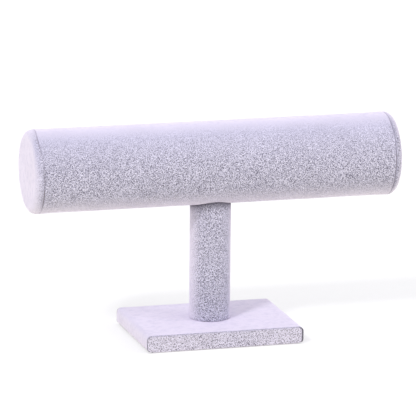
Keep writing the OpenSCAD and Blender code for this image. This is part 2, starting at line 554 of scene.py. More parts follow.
@dataclass(frozen=True)
class TurnedBeech(FleckedWood):
    """Unfinished beech dowel, turned along the grain, with its short dark rays along its length."""

    name: ClassVar[str] = "turned_beech"
    ground: str = "#d9b98a"
    fleck: str = "#b08a58"
    flecks: Grain = Grain((0.7, 0.7, 6.0), layers=3.0)
    fleck_from: float = 0.5
    fleck_full: float = 0.7
    fleck_peak: float = 0.8
    relief: Grain = Grain((0.7, 0.7, 6.0), layers=3.0)
    depth_mm: float = 0.05
    roughness: float = 0.6
    # The broad bands of the grain, the levels of their noise between which they begin, and how dark they get
    bands: Grain = Grain((5.0, 5.0, 60.0), layers=4.0, distortion=0.6)
    band_from: float = 0.4
    band_full: float = 0.6
    band_peak: float = 0.35

    def ground_colour(self, tree: NodeTree) -> Socket:
        """Gives the wood's colour, with the darker bands of its grain along Z.

        Args:
            tree: The material's node tree.

        Returns:
            The colour's output.
        """
        band = add_node(tree, "ShaderNodeMapRange", {
            "Value": self.bands.add(tree),
            "From Min": self.band_from,
            "From Max": self.band_full,
            "To Max": self.band_peak,
        })
        colours = {SHARE: band, FIRST: linear(self.ground), SECOND: linear(self.fleck)}
        return add_node(tree, "ShaderNodeMix", colours, RESULT, data_type="RGBA")


@dataclass(frozen=True)
class ZincPlate(Finish):
    """Steel plated with zinc in a bath, which leaves a bluish metal with faint cloudy patches."""

    name: ClassVar[str] = "zinc_plated_steel"
    zinc: str = "#c3c8cf"
    cloud: str = "#a4abb6"
    clouds: Grain = Grain((2.0, 2.0, 2.0), layers=3.0)
    cloud_from: float = 0.35
    cloud_full: float = 0.65
    roughness_low: float = 0.28
    roughness_high: float = 0.42

    def shader(self, tree: NodeTree) -> Socket:
        """Builds the zinc plating's shader.

        Args:
            tree: The material's node tree.

        Returns:
            The shader's output.
        """
        limits = {"Value": self.clouds.add(tree), "From Min": self.cloud_from, "From Max": self.cloud_full}
        share = add_node(tree, "ShaderNodeMapRange", limits)
        colours = {SHARE: share, FIRST: linear(self.zinc), SECOND: linear(self.cloud)}
        smoothness = {"Value": share, "To Min": self.roughness_low, "To Max": self.roughness_high}
        return add_node(tree, "ShaderNodeBsdfPrincipled", {
            "Base Color": add_node(tree, "ShaderNodeMix", colours, RESULT, data_type="RGBA"),
            "Metallic": 1.0,
            "Roughness": add_node(tree, "ShaderNodeMapRange", smoothness),
        })


@dataclass(frozen=True)
class Finishes:
    """One material for each of the record's slots."""

    materials: dict[Slot, bpy.types.Material]

    @classmethod
    def make(cls) -> "Finishes":
        """Builds every material once.

        Returns:
            The finishes, ready to dress pieces with.
        """
        return cls({
            Slot.VELVET: ShortPileVelvet().material(),
            Slot.FELT: PressedFelt().material(),
            Slot.PAPERBOARD: SpiralPaperboard().material(),
            Slot.FIBREBOARD: SawnFibreboard().material(),
            Slot.BEECH: TurnedBeech().material(),
            Slot.ZINC_STEEL: ZincPlate().material(),
        })

    def dress(self, piece: bpy.types.Object, slot: Slot) -> None:
        """Gives a piece the material of a slot.

        Args:
            piece: The mesh object.
            slot: The record's slot that the piece takes its finish from.
        """
        piece.data.materials.clear()
        piece.data.materials.append(self.materials[slot])


@dataclass(frozen=True)
class Cloth:
    """What one kind of cloth is like where it is cut, and how finely its mesh is divided."""

    thickness: float = 0.8 * MM
    # Radius over which the pile rolls down at a cut edge
    edge_roll: float = 0.65 * MM
    # Share of the thickness that is left at the very edge
    edge_share: float = 0.2
    edge_rows: int = 5
    step: float = 1.0 * MM
    # Height of the slow unevenness of cloth that was glued by hand
    relief: float = 0.10 * MM
    relief_length: float = 16 * MM
    # Distance from a cut edge within which painted shade, in the dark ground colour, is mixed into the pile,
    # and how much of it
    shade_reach: float = 0.8 * MM
    shade_peak: float = 0.25

    def rows(self, length: float) -> np.ndarray:
        """Spaces rows over a length, closely over the rolled edges at both ends.

        Args:
            length: The length to divide.

        Returns:
            Distances from 0 to the length.
        """
        turn = np.linspace(0, math.pi / 2, self.edge_rows)
        edge = self.edge_roll * (1 - np.cos(turn))
        count = max(2, round((length - 2 * self.edge_roll) / self.step) + 1)
        middle = np.linspace(self.edge_roll, length - self.edge_roll, count)
        return np.concatenate([edge[:-1], middle, (length - edge[:-1])[::-1]])

    def height(self, to_edge: np.ndarray) -> np.ndarray:
        """Gives the height of the pile's surface over the cloth's back.

        Args:
            to_edge: Distance of each point from the nearest cut edge.

        Returns:
            The height at each point.
        """
        inside = 1 - np.clip(to_edge / self.edge_roll, 0, 1)
        rolled = np.sqrt(1 - inside ** 2)
        return self.thickness * (self.edge_share + (1 - self.edge_share) * rolled)

    def shade(self, to_edge: np.ndarray) -> np.ndarray:
        """Gives the share of painted shade, in the dark ground colour, from the most at a cut edge to 0 away
        from it.
        """
        return self.shade_peak * (1 - np.clip(to_edge / self.shade_reach, 0, 1)) ** 2

    def unevenness(self, points: np.ndarray) -> np.ndarray:
        """Gives the slow unevenness of glued cloth.

        Args:
            points: Places in metres, in the last axis of the array.

        Returns:
            The height to add at each place.
        """
        flat = points.reshape(-1, 3) / self.relief_length
        values = np.array([noise.noise(Vector(p)) for p in flat])
        return self.relief * values.reshape(points.shape[:-1])


VELVET_CLOTH = Cloth()
FELT_CLOTH = Cloth(
    thickness=0.4 * MM,
    edge_roll=0.3 * MM,
    edge_share=0.6,
    step=1.5 * MM,
    relief=0.02 * MM,
    shade_reach=0.1 * MM,
)


@dataclass
class SheetMesh:
    """Closed mesh of a cloth, from the grids of points on its outer face and on its back."""

    outer: np.ndarray
    back: np.ndarray
    # Share of painted shade, in the dark ground colour, at each point of the outer face
    shade: np.ndarray
    # Which way the pile leans, and how far for one unit of its height
    lean: np.ndarray | Triple = (0.0, 0.0, 0.0)
    # Share of painted sheen, the pale colour of the pile's sides, that is the same from every side
    painted_sheen: np.ndarray | float = 0.0
    # Which way, and how far, the painted sheen of the pile's pale sides is turned
    sheen_lean: Triple = (0.0, 0.0, 0.0)
    # The last column meets the first, as in a round cap
    ring: bool = False
    # Radius of a hole round the Z axis, or 0
    hole_r: float = 0.0
    # Which side of the sheet the hole is on, as a test of the height of its points
    hole_here: Callable[[np.ndarray], np.ndarray] | None = None

    def kept_cells(self) -> np.ndarray:
        """Marks the grid's cells that aren't cut away by the hole.

        Returns:
            True for each cell that is kept.
        """
        columns = self.outer.shape[1] - (0 if self.ring else 1)
        kept = np.ones((self.outer.shape[0] - 1, columns), bool)
        if self.hole_r:
            corner = self.outer[:-1, :columns]
            other = self.outer[1:, 1:columns + 1]
            centre = (corner + other) / 2
            near = np.hypot(centre[..., 0], centre[..., 1]) < self.hole_r
            kept = ~(near & self.hole_here(centre[..., 2]))
        return kept

    def round_off_hole(self, kept: np.ndarray) -> None:
        """Moves the points along the hole's border onto its circle.

        Args:
            kept: The mark of each cell of the grid.
        """
        beside_kept = np.zeros(self.outer.shape[:2], bool)
        beside_cut = np.zeros(self.outer.shape[:2], bool)
        for i, j in ((0, 0), (1, 0), (0, 1), (1, 1)):
            rows, columns = kept.shape
            beside_kept[i:i + rows, j:j + columns] |= kept
            beside_cut[i:i + rows, j:j + columns] |= ~kept
        border = beside_kept & beside_cut
        for grid in (self.outer, self.back):
            out = np.hypot(grid[border, 0], grid[border, 1])[:, None]
            grid[border, :2] *= self.hole_r / out

    def build(self, name: str) -> bpy.types.Object:
        """Makes the mesh object.

        Args:
            name: The new piece's name.

        Returns:
            The object, linked into the scene.
        """
        kept = self.kept_cells()
        if self.hole_r:
            self.round_off_hole(kept)
        rows, columns = self.outer.shape[:2]
        index = np.arange(rows * columns).reshape(rows, columns)
        if self.ring:
            index = np.concatenate([index, index[:, :1]], axis=1)
        a, b, c, d = index[:-1, :-1], index[1:, :-1], index[1:, 1:], index[:-1, 1:]
        under = rows * columns
        faces = [np.stack([a, b, c, d], -1)[kept], np.stack([d, c, b, a], -1)[kept] + under]
        wall = np.pad(kept, 1)
        if self.ring:
            wall[1:-1, 0], wall[1:-1, -1] = kept[:, -1], kept[:, 0]
        sides = (
            (a, d, wall[:-2, 1:-1]),
            (b, c, wall[2:, 1:-1]),
            (a, b, wall[1:-1, :-2]),
            (d, c, wall[1:-1, 2:]),
        )
        for p, q, neighbour in sides:
            bare = kept & ~neighbour
            faces.append(np.stack([p, q, q + under, p + under], -1)[bare])
        points = np.concatenate([self.outer.reshape(-1, 3), self.back.reshape(-1, 3)])
        mesh = bpy.data.meshes.new(name)
        mesh.from_pydata(points.tolist(), [], np.concatenate(faces).tolist())
        self.write_looks(mesh)
        self.clean(mesh)
        piece = bpy.data.objects.new(name, mesh)
        bpy.context.scene.collection.objects.link(piece)
        return piece

    def write_looks(self, mesh: bpy.types.Mesh) -> None:
        """Writes the painted shade, the painted sheen and both leans of each point, with the ground colour over
        the whole back.

        Args:
            mesh: The new mesh, with the points of the outer face before those of the back.
        """
        shade = self.shade.ravel()
        painted_sheen = np.broadcast_to(self.painted_sheen, self.shade.shape).ravel()
        for name, front, back in (
            (SHADE_ATTRIBUTE, shade, np.ones_like(shade)),
            (SHEEN_ATTRIBUTE, painted_sheen, painted_sheen),
        ):
            values = np.concatenate([front, back]).astype(np.float32)
            mesh.attributes.new(name, "FLOAT", "POINT").data.foreach_set("value", values)
        for name, lean in ((LEAN_ATTRIBUTE, self.lean), (SHEEN_LEAN_ATTRIBUTE, self.sheen_lean)):
            leans = np.broadcast_to(lean, self.outer.shape).reshape(-1, 3)
            values = np.concatenate([leans, leans]).astype(np.float32).ravel()
            mesh.attributes.new(name, "FLOAT_VECTOR", "POINT").data.foreach_set("vector", values)

    @staticmethod
    def clean(mesh: bpy.types.Mesh) -> None:
        """Joins points that meet, drops loose ones and turns all faces outwards and smooth.

        Args:
            mesh: The mesh to clean.
        """
        shape = bmesh.new()
        shape.from_mesh(mesh)
        bmesh.ops.remove_doubles(shape, verts=shape.verts, dist=SAME_PLACE)
        loose = [v for v in shape.verts if not v.link_faces]
        bmesh.ops.delete(shape, geom=loose, context="VERTS")
        bmesh.ops.recalc_face_normals(shape, faces=shape.faces)
        shape.to_mesh(mesh)
        shape.free()
        mesh.polygons.foreach_set("use_smooth", np.ones(len(mesh.polygons), bool))


@dataclass
class Profile:
    """A line of straight runs and round corners in a plane, walked from its first corner to its last."""

    corners: Sequence[tuple[float, float]]
    radii: Sequence[float]
    arc_steps: int = 8
    # How far before and after a point its direction is taken
    nudge: float = 0.05 * MM

    def line(self) -> np.ndarray:
        """Works the line out, with each corner between its ends rounded to its radius.

        Returns:
            The line's points.
        """
        points = [np.array(self.corners[0], float)]
        for before, here, after, radius in zip(self.corners, self.corners[1:], self.corners[2:], self.radii):
            before, here, after = (np.array(p, float) for p in (before, here, after))
            back = (before - here) / np.linalg.norm(before - here)
            on = (after - here) / np.linalg.norm(after - here)
            centre = here + (back + on) * radius
            for turn in np.linspace(0, math.pi / 2, self.arc_steps + 1):
                points.append(centre - on * radius * math.cos(turn) - back * radius * math.sin(turn))
        points.append(np.array(self.corners[-1], float))
        return np.array(points)

    def sample(self, distances: np.ndarray) -> tuple[np.ndarray, np.ndarray]:
        """Walks along the line.

        Args:
            distances: Distances from the line's start.

        Returns:
            The points, and the unit normals to their left.
        """
        line = self.line()
        steps = np.linalg.norm(np.diff(line, axis=0), axis=1)
        along = np.concatenate([[0], np.cumsum(steps)])
        points = np.stack([np.interp(distances, along, line[:, k]) for k in (0, 1)], -1)
        ahead = np.stack([np.interp(distances + self.nudge, along, line[:, k]) for k in (0, 1)], -1)
        behind = np.stack([np.interp(distances - self.nudge, along, line[:, k]) for k in (0, 1)], -1)
        run = ahead - behind
        run /= np.linalg.norm(run, axis=1)[:, None]
        return points, np.stack([-run[:, 1], run[:, 0]], -1)

    def length(self) -> float:
        """Gives the line's length."""
        return float(np.linalg.norm(np.diff(self.line(), axis=0), axis=1).sum())


def from_both_ends(distances: np.ndarray) -> np.ndarray:
    """Gives the distance of each row from the nearer end of its length."""
    return np.minimum(distances, distances[-1] - distances)


def waves_round(angle: np.ndarray, counts: Sequence[int], phase: float) -> np.ndarray:
    """Adds up sine waves round a circle.

    Args:
        angle: Angle round the circle.
        counts: How often each wave goes up and down in one turn.
        phase: Angle that is added to every place first.

    Returns:
        The sum of the waves at each angle.
    """
    return sum(np.sin(count * (angle + phase)) for count in counts)


@dataclass
class CoveredPart:
    """A sub-assembly of the stand: what it needs to make and place its pieces."""

    finishes: Finishes
    cloth: Cloth = VELVET_CLOTH

    def place(
        self,
        piece: bpy.types.Object,
        node: str,
        flat: tuple[float, float],
        rests_on: str,
        slot: Slot = Slot.VELVET,
        hold: Hold = Hold.STRETCHED,
        area: float | None = None,
    ) -> None:
        """Puts a sheet of cloth in the place of its CAD node, which it hides, and gives it its finish.

        Args:
            piece: The sheet's mesh object.
            node: The CAD node that it stands for.
            flat: Width and length that the cloth was cut to. It is not used.
            rests_on: The CAD node that it lies on. It is not used.
            slot: The record's slot of its finish.
            hold: How the cloth is held. It is not used.
            area: Flat area of a cut that isn't a rectangle. It is not used.
        """
        self.finishes.dress(piece, slot)
        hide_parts(node)
        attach(piece, ROOT_BODY)
        log.info("%s: %d points, in the place of %s", piece.name, len(piece.data.vertices), node)

    def keep(self, node: str, slot: Slot) -> None:
        """Gives a CAD node that stays as it is the material of its slot.

        Args:
            node: The CAD node.
            slot: The record's slot of its finish.
        """
        self.finishes.dress(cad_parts[node], slot)
        log.info("%s: kept, with the finish %s", node, slot.value)


@dataclass
class Bar(CoveredPart):
    """The round bar: a paperboard tube under velvet, and a velvet-covered disc in each end."""

    radius: float = BAR_RADIUS
    axis_height: float = BAR_AXIS_HEIGHT
    half_length: float = 120 * MM
    cap_depth: float = 5.4 * MM
    cap_round: float = 4.5 * MM
    seam_gap: float = CLOTH_GAP
    hem_inner_r: float = 22.65 * MM
    joint_angle: float = math.radians(50)
    hole_r: float = SCREW_HOLE_R
    # The seams were cut by hand: how far they wander, how often round the bar, and from which phase
    seam_wander: float = 0.14 * MM
    seam_waves: tuple[int, ...] = (2, 5, 9)
    seam_phase: float = 1.7
    # The cloth stands up a little where two edges press together. In an end cover this fades towards its
    # face, and by this power of the radius where its hem turns in
    seam_lift: float = 0.22 * MM
    seam_lift_reach: float = 5 * MM
    hem_lift_power: int = 8
    column_count: int = 220
    cap_step: float = 0.7 * MM
    # The pile leans up over the front
    pile_lean: float = 0.42
    # Over the rims of both end covers the pile leans to the left
    rim_lean: float = 1.1
    # Over the round of the end covers painted sheen, the pale colour of the pile's sides, is mixed in, further
    # round at the bottom than at the top
    rim_sheen: float = 0.5
    rim_sheen_from: float = 0.12
    rim_sheen_full: float = 0.7
    rim_sheen_top: float = 0.8
    rim_sheen_bottom: float = 0.2
    # Share of the round's width, from the face outwards, over which that painted sheen sets in
    rim_sheen_onset: float = 0.5
    # Distance from the seam within which painted shade, in the dark ground colour, darkens the end covers'
    # folded edge, and the share of it that is taken off again where the cloths press together
    fold_shade_reach: float = 2.2 * MM
    fold_shade_pressed: float = 0.6
    # Share of the seam's gap, and of the painted shade beside it, that closes where the cloths press together
    seam_press: float = 0.92
    # How tightly they press on the whole at each seam, and how much less round the angle where they gape
    left_press_mean: float = 0.74
    right_press_mean: float = 0.34
    press_gape: float = 0.6
    gape_angle: float = math.radians(293)
    gape_sharpness: int = 8
    # Low on the bar they press together more tightly
    press_below: float = 0.9
    press_below_angle: float = math.radians(345)
    press_below_spread: int = 4
    # How unevenly they press, in how many waves round the bar, and from which phase
    press_uneven: float = 0.16
    press_waves: tuple[int, ...] = (3, 8)
    press_phase: float = 2.3
    # Share of the rolled edges that their pile fills where they press together: the cover's, and a cap's
    cover_fill: float = 0.3
    cap_fill: float = 1.0
    # The right end's cover was pulled less far over the end
    right_seam_shift: float = 0.9 * MM
    # The left seam strays towards the end high at the front: how far, round which angle and how wide an arc
    left_seam_stray: float = 1.6 * MM
    stray_angle: float = math.radians(215)
    stray_arc: float = math.radians(27)

    def wander(self, angle: np.ndarray, side: int) -> np.ndarray:
        """Gives how far a seam wanders out of its plane.

        Args:
            angle: Angle from straight down towards the back.
            side: -1 for the left seam, 1 for the right one.

        Returns:
            The distance towards the bar's end at each angle.
        """
        waves = waves_round(angle, self.seam_waves, self.seam_phase)
        waves = self.seam_wander * waves / len(self.seam_waves)
        if side > 0:
            return waves
        return waves + self.left_seam_stray * np.exp(-((angle - self.stray_angle) / self.stray_arc) ** 2)

    def pressed(self, angle: np.ndarray, side: int) -> np.ndarray:
        """Gives the share of a seam that is closed at each angle round the bar.

        Args:
            angle: Angle from straight down towards the back.
            side: -1 for the left seam, 1 for the right one.

        Returns:
            The share, from 0 to 1.
        """
        mean = self.left_press_mean if side < 0 else self.right_press_mean
        waves = self.press_uneven * waves_round(angle, self.press_waves, self.press_phase)
        gape = self.press_gape * np.clip(np.cos(angle - self.gape_angle), 0, 1) ** self.gape_sharpness
        below = np.clip(np.cos(angle - self.press_below_angle), 0, 1) ** self.press_below_spread
        return self.seam_press * np.clip(mean - gape + self.press_below * below + waves, 0, 1)

    def on_bar(self, along: np.ndarray, out: np.ndarray, angle: np.ndarray) -> np.ndarray:
        """Turns places on the bar into points.

        Args:
            along: Place along X.
            out: Distance from the bar's axis.
            angle: Angle from straight down towards the back.

        Returns:
            The points, in the last axis of the array.
        """
        along, out, angle = np.broadcast_arrays(along, out, angle)
        return np.stack([along, out * np.sin(angle), self.axis_height - out * np.cos(angle)], -1)

    def cover(self) -> None:
        """Builds the sheet round the tube, with its lengthwise joint low at the back."""
        back_r = self.radius - self.cloth.thickness
        half_cover = self.half_length - self.cap_depth - self.seam_gap
        around = self.cloth.rows(2 * math.pi * self.radius - self.seam_gap)
        along = self.cloth.rows(2 * half_cover)
        angle = (self.joint_angle + (around + self.seam_gap / 2) / self.radius)[:, None]
        to_seam = from_both_ends(along)[None, :]
        to_joint = from_both_ends(around)[:, None]
        share = (along / half_cover - 1)[None, :]
        pressed = np.where(share < 0, self.pressed(angle, -1), self.pressed(angle, 1))
        to_edge = np.minimum(to_joint, to_seam + self.cover_fill * self.cloth.edge_roll * pressed)
        # Painted shade, in the dark ground colour, along the joint and along the seams where they gape
        shade = np.maximum(self.cloth.shade(to_joint), self.cloth.shade(to_seam) * (1 - pressed))
        wander = np.where(share < 0, self.wander(angle, -1), self.wander(angle, 1) + self.right_seam_shift)
        x = (half_cover + wander + self.seam_gap * pressed) * share
        lift = self.seam_lift * np.exp(-((to_seam / self.seam_lift_reach) ** 2))
        back = self.on_bar(x, back_r, angle)
        out = back_r + self.cloth.height(to_edge) + lift
        outer = self.on_bar(x, out + self.cloth.unevenness(self.on_bar(x, out, angle)), angle)
        upward = np.stack(np.broadcast_arrays(0 * x, -np.cos(angle), -np.sin(angle)), -1)
        sheet = SheetMesh(outer, back, shade, self.pile_lean * upward, hole_r=self.hole_r)
        sheet.hole_here = lambda z: z < self.axis_height
        piece = sheet.build("bar_velvet")
        self.place(piece, "bar_cover", (2 * math.pi * self.radius, 2 * half_cover), "bar_tube")

    def cap(self, side: int, name: str, node: str, rests_on: str) -> None:
        """Builds the velvet over one end disc, with its hem folded in against the tube's end.

        Args:
            side: -1 for the left end, 1 for the right end.
            name: The new piece's name.
            node: The CAD node that it stands for.
            rests_on: The disc that carries it.
        """
        shift = self.right_seam_shift if side > 0 else 0.0
        depth = self.cap_depth - shift
        profile = Profile(
            corners=((0, depth), (self.radius, depth), (self.radius, 0), (self.hem_inner_r, 0)),
            radii=(self.cap_round - shift, self.cloth.edge_roll),
        )
        length = profile.length()
        points, normals = profile.sample(np.append(np.arange(0, length, self.cap_step), length))
        r, past_seam = points[:, :1], points[:, 1:]
        back_points = points - normals * self.cloth.thickness
        back_r, back_past_seam = np.maximum(back_points[:, :1], 0), back_points[:, 1:]
        angle = np.linspace(0, 2 * math.pi, self.column_count, endpoint=False)[None, :]
        seam = side * (self.half_length - depth)
        rim = np.clip(1 - past_seam / depth, 0, 1)
        slide = self.wander(angle, side) * rim
        lift = self.seam_lift * rim ** 2 * np.clip(r / self.radius, 0, 1) ** self.hem_lift_power
        sunk = np.where(past_seam < self.cloth.edge_roll, self.radius - r, 0.0)
        on_roll = np.clip(1 - sunk / self.cloth.edge_roll, 0, 1)
        pressed = self.pressed(angle, side)
        fill = self.cap_fill * sunk * np.sqrt(on_roll) * pressed
        outer = self.on_bar(seam + side * (past_seam + slide), r + lift + fill, angle)
        outer[..., 0] += side * normals[:, 1:] * self.cloth.unevenness(outer)
        back = self.on_bar(seam + side * (back_past_seam + slide), back_r, angle)
        # Painted shade, in the dark ground colour, on the folded edge next to the seam
        near_fold = np.clip(1 - past_seam / self.fold_shade_reach, 0, 1)
        shade = self.cloth.shade_peak * near_fold * (1 - self.fold_shade_pressed * pressed)
        lean, painted_sheen = self.cap_pile(side, r, rim, normals, angle)
        piece = SheetMesh(outer, back, shade, lean, painted_sheen, ring=True).build(name)
        cut_diameter = 2 * length
        self.place(piece, node, (cut_diameter, cut_diameter), rests_on, area=math.pi / 4 * cut_diameter ** 2)

    def cap_pile(
        self, side: int, r: np.ndarray, rim: np.ndarray, normals: np.ndarray, angle: np.ndarray
    ) -> tuple[np.ndarray, np.ndarray]:
        """Gives how the pile of an end cover leans, and how much painted sheen it gets.

        Args:
            side: -1 for the left end, 1 for the right end.
            r: Distance of each row from the bar's axis.
            rim: Place of each row on the rim, from 0 at the face to 1 at the seam.
            normals: Direction of each row's surface, outwards from the axis and along it.
            angle: Angle of each column from straight down towards the back.

        Returns:
            The lean and the share of painted sheen of each point.
        """
        out_r, out_x = normals[:, :1], normals[:, 1:]
        past_face = (r - self.radius + self.cap_round) / self.cap_round
        turned = np.maximum(np.clip(past_face, 0, 1), rim)
        outward = side * self.rim_lean * turned * out_x
        lean = np.stack(np.broadcast_arrays(
            -self.rim_lean * turned * out_r,
            outward * np.sin(angle),
            self.pile_lean * (1 - turned) - outward * np.cos(angle),
        ), -1)
        # Painted sheen over the round, further round at the bottom than at the top
        up = -np.cos(angle)
        rise = up * np.where(up > 0, self.rim_sheen_top, self.rim_sheen_bottom)
        painted_sheen = (out_x - rise - self.rim_sheen_from) / (self.rim_sheen_full - self.rim_sheen_from)
        onset = np.clip(past_face / self.rim_sheen_onset, 0, 1)
        return lean, self.rim_sheen * np.clip(painted_sheen, 0, 1) * onset

    def build(self) -> None:
        """Builds the bar's covers and dresses what is inside it."""
        self.cover()
        self.cap(-1, "left_end_velvet", "end_cover_left", "end_plug_left")
        self.cap(1, "right_end_velvet", "end_cover_right", "end_plug_right")
        self.keep("bar_tube", Slot.PAPERBOARD)
        self.keep("end_plug_left", Slot.FIBREBOARD)
        self.keep("end_plug_right", Slot.FIBREBOARD)
        self.keep("bar_washer", Slot.ZINC_STEEL)
        self.keep("bar_screw", Slot.ZINC_STEEL)


@dataclass
class Post(CoveredPart):
    """The round post: a beech dowel under velvet, cut at its top to the bar's round underside."""

    radius: float = 13.1 * MM
    foot_height: float = BASE_TOP
    bar_axis_height: float = BAR_AXIS_HEIGHT
    saddle_r: float = BAR_RADIUS + 0.05 * MM
    joint_gap: float = CLOTH_GAP
    joint_angle: float = math.radians(90)
    # Painted shade under the bar: the dark ground colour is mixed into the top of the cover, fading out over
    # this reach from this share at the top
    under_bar_shade_reach: float = 6.5 * MM
    under_bar_shade: float = 1.0
    # The pile leans up and a little to the left, and its painted sheen is turned to the left. Painted light, in
    # the pale sheen colour, lightens the left side towards the main lamp, but not near the bar
    pile_lean: Triple = (-0.06, 0.0, 0.3)
    sheen_lean: Triple = (-0.3, 0.0, 0.0)
    painted_sheen: float = 0.65
    left_light_below_bar: float = 20 * MM
    left_light_angle: float = math.radians(170)
    left_light_from: float = 0.45
    left_light_full: float = 0.95

    def cover(self) -> None:
        """Builds the sheet round the dowel, with its joint at the back."""
        back_r = self.radius - self.cloth.thickness
        around = self.cloth.rows(2 * math.pi * self.radius - self.joint_gap)
        angle = (self.joint_angle + (around + self.joint_gap / 2) / self.radius)[:, None]
        saddle = self.bar_axis_height - np.sqrt(self.saddle_r ** 2 - (self.radius * np.sin(angle)) ** 2)
        lowest = float(saddle.min())
        up = self.cloth.rows(lowest - self.foot_height)
        share = (up / up[-1])[None, :]
        z = self.foot_height + (saddle - self.foot_height) * share
        to_edge = np.minimum(from_both_ends(around)[:, None], from_both_ends(up)[None, :])
        out = back_r + self.cloth.height(to_edge)

        def on_post(r: np.ndarray) -> np.ndarray:
            """Turns distances from the post's axis into points."""
            r, turn, height = np.broadcast_arrays(r, angle, z)
            return np.stack([r * np.cos(turn), r * np.sin(turn), height], -1)

        outer = on_post(out + self.cloth.unevenness(on_post(out)))
        # Painted shade under the bar and at the cover's cut edges, both in the dark ground colour
        pressed = self.under_bar_shade * (1 - np.clip((up[-1] - up) / self.under_bar_shade_reach, 0, 1)) ** 2
        shade = np.maximum(self.cloth.shade(to_edge), pressed[None, :])
        # Painted light on the left side, in the pale colour of the painted sheen
        beside = np.cos(angle - self.left_light_angle)
        beside = (beside - self.left_light_from) / (self.left_light_full - self.left_light_from)
        below_bar = np.clip((up[-1] - up) / self.left_light_below_bar, 0, 1)[None, :]
        painted_sheen = self.painted_sheen * np.clip(beside, 0, 1) * below_bar
        sheet = SheetMesh(outer, on_post(np.array(back_r)), shade, self.pile_lean, painted_sheen, self.sheen_lean)
        piece = sheet.build("post_velvet")
        tallest = float(saddle.max()) - self.foot_height
        self.place(piece, "post_cover", (2 * math.pi * self.radius, tallest), "post_dowel")

    def build(self) -> None:
        """Builds the post's cover and dresses the dowel."""
        self.cover()
        self.keep("post_dowel", Slot.BEECH)


